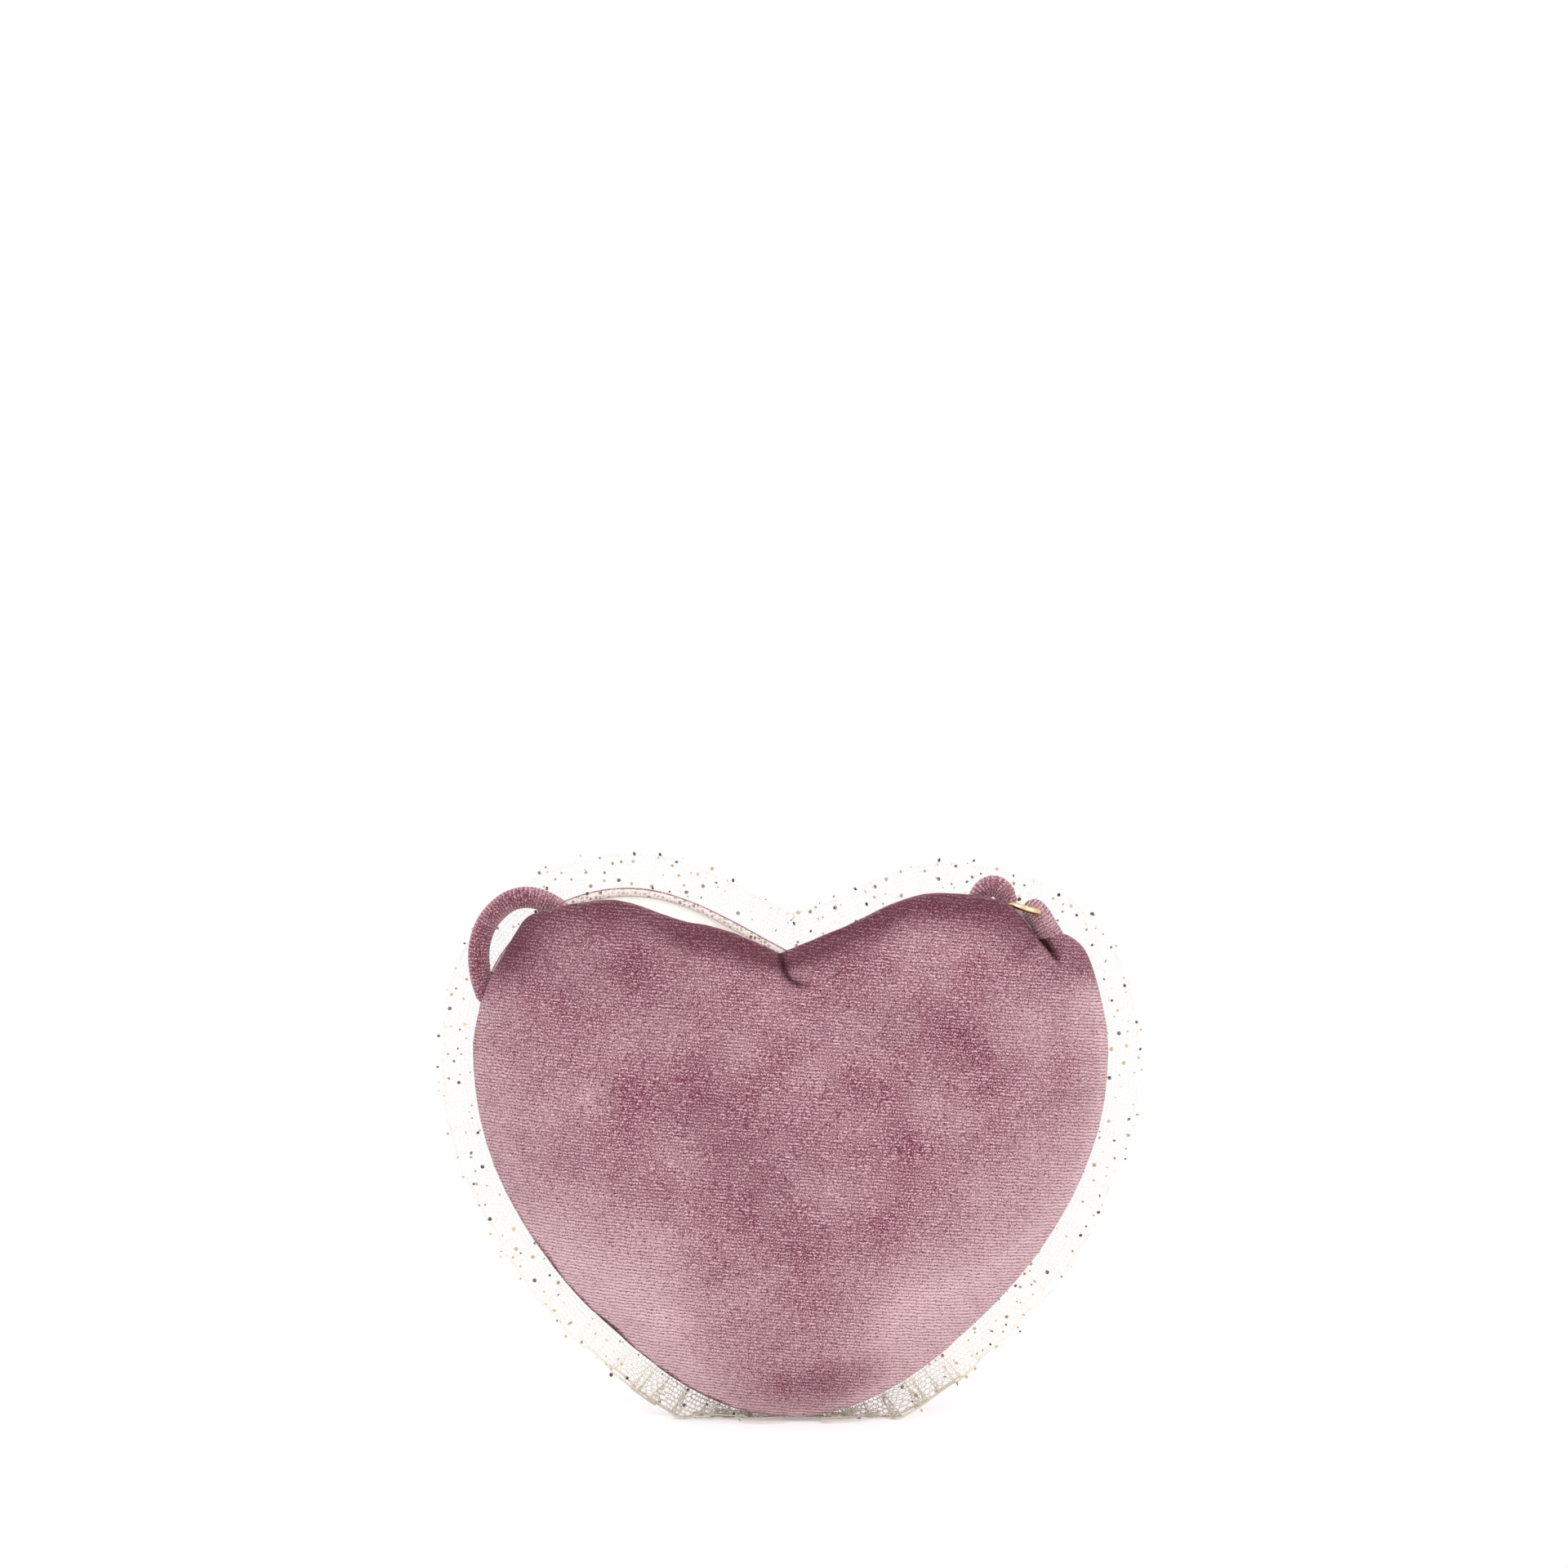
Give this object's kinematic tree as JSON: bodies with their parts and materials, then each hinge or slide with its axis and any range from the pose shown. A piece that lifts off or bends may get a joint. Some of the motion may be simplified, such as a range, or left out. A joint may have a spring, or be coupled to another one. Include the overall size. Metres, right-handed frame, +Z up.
{
  "type": "heart shaped purse",
  "caption": "Padded velvet heart purse with an open mouth at the top, a gathered net ruffle round its seam, and a velvet cord strap on a brass ring, coiled inside.",
  "frame": {"origin": "middle of the standing purse's box, on the surface that it stands on", "axes": "+Z up, +X to the right seen from the plain front panel, +Y from the front panel to the back panel"},
  "size_m": [0.1996, 0.0409, 0.1585],
  "materials": {
    "velvet": "dusty pink knitted velvet with a soft sheen",
    "wadding": "white polyester wadding",
    "lining": "plain cream woven lining",
    "net": "ivory tulle net with glitter flecks",
    "tape": "woven ivory tape",
    "brass": "polished pale gold",
    "snap_metal": "nickel plated"
  },
  "bodies": {
    "bag": {"front_velvet": "velvet", "front_wadding": "wadding", "front_lining": "lining", "back_velvet": "velvet", "back_wadding": "wadding", "back_lining": "lining", "gather_tape": "tape", "ruffle_left": "net", "ruffle_right": "net", "ruffle_foot": "net", "ring_tab": "velvet", "strap_anchor": "velvet", "strap_left_lead": "velvet", "strap_coil": "velvet", "strap_right_lead": "velvet", "strap_tie": "tape", "snap_socket": "snap_metal", "snap_socket_washer": "snap_metal"},
    "mouth_flap": {"flap_velvet": "velvet", "flap_wadding": "wadding", "flap_lining": "lining", "snap_stud": "snap_metal", "snap_stud_washer": "snap_metal"},
    "ring": {"brass_ring": "brass", "strap_end_loop": "velvet"}
  },
  "joints": [
    {"name": "mouth_open", "type": "hinge", "parent": "bag", "child": "mouth_flap", "pos_m": [0, -0.019, 0.104], "axis": [1, 0, 0], "range_deg": [0, 22]},
    {"name": "ring_swing", "type": "hinge", "parent": "bag", "child": "ring", "pos_m": [0.06942, -0.00545, 0.14253], "axis": [0, 1, 0], "range_deg": [0, 75], "deforming": ["strap_right_lead"]}
  ]
}
